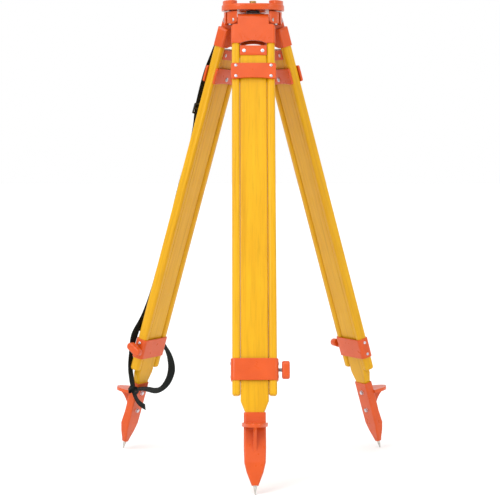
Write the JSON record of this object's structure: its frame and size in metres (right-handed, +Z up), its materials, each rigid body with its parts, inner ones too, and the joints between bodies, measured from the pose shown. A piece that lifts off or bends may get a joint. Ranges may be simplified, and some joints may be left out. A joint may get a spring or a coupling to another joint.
{
  "type": "surveyor tripod",
  "caption": "Surveying instrument tripod with a flat cast head, centring screw, hinged twin-rail wooden legs, sliding lower legs with screw clamps, stepped pointed shoes and a tie strap.",
  "frame": {"origin": "where the tripod's axis meets the plane of the three head pads that the instrument sits on", "axes": "+Z up along the centring screw, out of the head; the front leg stands towards -Y; X runs across the front leg; the spike points stand on the ground 1.027 m below the origin"},
  "size_m": [0.6334, 0.5712, 1.0284],
  "materials": {
    "cast_orange": "glossy orange enamel on cast aluminium",
    "varnished_wood": "yellow painted and varnished hardwood, gloss",
    "steel": "zinc plated, satin",
    "zinc_screws": "bright zinc plated",
    "spike_steel": "turned steel, worn satin",
    "brass": "machined brass, satin",
    "black_arm": "black enamel, satin",
    "black_plastic": "moulded black plastic, satin",
    "strap_webbing": "flat woven webbing, matt"
  },
  "bodies": {
    "head": {"head_casting": "cast_orange", "hinge_pins": "steel", "pinch_bolts": "steel", "arm_pivot_bolt": "steel"},
    "arm": {"centring_arm": "black_arm"},
    "slider": {"screw_slider": "steel"},
    "washer": {"screw_washer": "steel"},
    "screw": {"centring_screw": "brass", "screw_knob": "cast_orange"},
    "front_leg": {"front_hinge_casting": "cast_orange", "front_left_rail": "varnished_wood", "front_right_rail": "varnished_wood", "front_guide_plates": "cast_orange", "front_clamp": "cast_orange", "front_side_screws": "zinc_screws"},
    "front_foot": {"front_board": "varnished_wood", "front_slide_plates": "cast_orange", "front_slide_screws": "zinc_screws", "front_shoe": "cast_orange", "front_shoe_bolts": "zinc_screws", "front_spike": "spike_steel"},
    "front_pad": {"front_clamp_pad": "zinc_screws"},
    "front_knob": {"front_stud": "zinc_screws", "front_wing_knob": "cast_orange"},
    "right_leg": {"right_hinge_casting": "cast_orange", "right_left_rail": "varnished_wood", "right_right_rail": "varnished_wood", "right_guide_plates": "cast_orange", "right_clamp": "cast_orange", "right_side_screws": "zinc_screws"},
    "right_foot": {"right_board": "varnished_wood", "right_slide_plates": "cast_orange", "right_slide_screws": "zinc_screws", "right_shoe": "cast_orange", "right_shoe_bolts": "zinc_screws", "right_spike": "spike_steel"},
    "right_pad": {"right_clamp_pad": "zinc_screws"},
    "right_knob": {"right_stud": "zinc_screws", "right_wing_knob": "cast_orange"},
    "left_leg": {"left_hinge_casting": "cast_orange", "left_left_rail": "varnished_wood", "left_right_rail": "varnished_wood", "left_guide_plates": "cast_orange", "left_clamp": "cast_orange", "left_side_screws": "zinc_screws", "strap_upper": "strap_webbing", "strap_lower": "strap_webbing", "strap_knot": "strap_webbing", "strap_buckle": "black_plastic"},
    "left_foot": {"left_board": "varnished_wood", "left_slide_plates": "cast_orange", "left_slide_screws": "zinc_screws", "left_shoe": "cast_orange", "left_shoe_bolts": "zinc_screws", "left_spike": "spike_steel"},
    "left_pad": {"left_clamp_pad": "zinc_screws"},
    "left_knob": {"left_stud": "zinc_screws", "left_wing_knob": "cast_orange"}
  },
  "joints": [
    {"name": "arm_swing", "type": "hinge", "parent": "head", "child": "arm", "pos_m": [0, 0.035, -0.0245], "axis": [0, 0, 1], "range_deg": [-10, 10]},
    {"name": "screw_shift", "type": "slide", "parent": "arm", "child": "slider", "axis": [0, 1, 0], "range_m": [-0.009, 0.009]},
    {"name": "screw_lift", "type": "slide", "parent": "slider", "child": "washer", "axis": [0, 0, 1], "range_m": [0, 0.0165]},
    {"name": "screw_turn", "type": "hinge", "parent": "washer", "child": "screw", "pos_m": [0, 0, -0.06], "axis": [0, 0, 1], "continuous": true},
    {"name": "front_leg_fold", "type": "hinge", "parent": "head", "child": "front_leg", "pos_m": [0, -0.045, -0.043], "axis": [-1, 0, 0], "range_deg": [-16.2, 15]},
    {"name": "front_foot_slide", "type": "slide", "parent": "front_leg", "child": "front_foot", "axis": [0, -0.2957, -0.9553], "range_m": [0, 0.58]},
    {"name": "front_pad_slide", "type": "slide", "parent": "front_leg", "child": "front_pad", "axis": [1, 0, 0], "range_m": [0, 0.003]},
    {"name": "front_knob_turn", "type": "hinge", "parent": "front_pad", "child": "front_knob", "pos_m": [0.06, -0.27358, -0.78143], "axis": [1, 0, 0], "range_deg": [0, 540]},
    {"name": "right_leg_fold", "type": "hinge", "parent": "head", "child": "right_leg", "pos_m": [0.03897, 0.0225, -0.043], "axis": [0.5, -0.866, 0], "range_deg": [-16.2, 15]},
    {"name": "right_foot_slide", "type": "slide", "parent": "right_leg", "child": "right_foot", "axis": [0.2561, 0.1479, -0.9553], "range_m": [0, 0.58]},
    {"name": "right_pad_slide", "type": "slide", "parent": "right_leg", "child": "right_pad", "axis": [-0.5, 0.866, 0], "range_m": [0, 0.003]},
    {"name": "right_knob_turn", "type": "hinge", "parent": "right_pad", "child": "right_knob", "pos_m": [0.20693, 0.18875, -0.78143], "axis": [-0.5, 0.866, 0], "range_deg": [0, 540]},
    {"name": "left_leg_fold", "type": "hinge", "parent": "head", "child": "left_leg", "pos_m": [-0.03897, 0.0225, -0.043], "axis": [0.5, 0.866, 0], "range_deg": [-16.2, 15]},
    {"name": "left_foot_slide", "type": "slide", "parent": "left_leg", "child": "left_foot", "axis": [-0.2561, 0.1479, -0.9553], "range_m": [0, 0.58]},
    {"name": "left_pad_slide", "type": "slide", "parent": "left_leg", "child": "left_pad", "axis": [-0.5, -0.866, 0], "range_m": [0, 0.003]},
    {"name": "left_knob_turn", "type": "hinge", "parent": "left_pad", "child": "left_knob", "pos_m": [-0.26693, 0.08483, -0.78143], "axis": [-0.5, -0.866, 0], "range_deg": [0, 540]}
  ],
  "couplings": [
    {"joint": "front_knob_turn", "follows": "front_pad_slide", "rad_per_m": 3141.6},
    {"joint": "right_knob_turn", "follows": "right_pad_slide", "rad_per_m": 3141.6},
    {"joint": "left_knob_turn", "follows": "left_pad_slide", "rad_per_m": 3141.6}
  ]
}
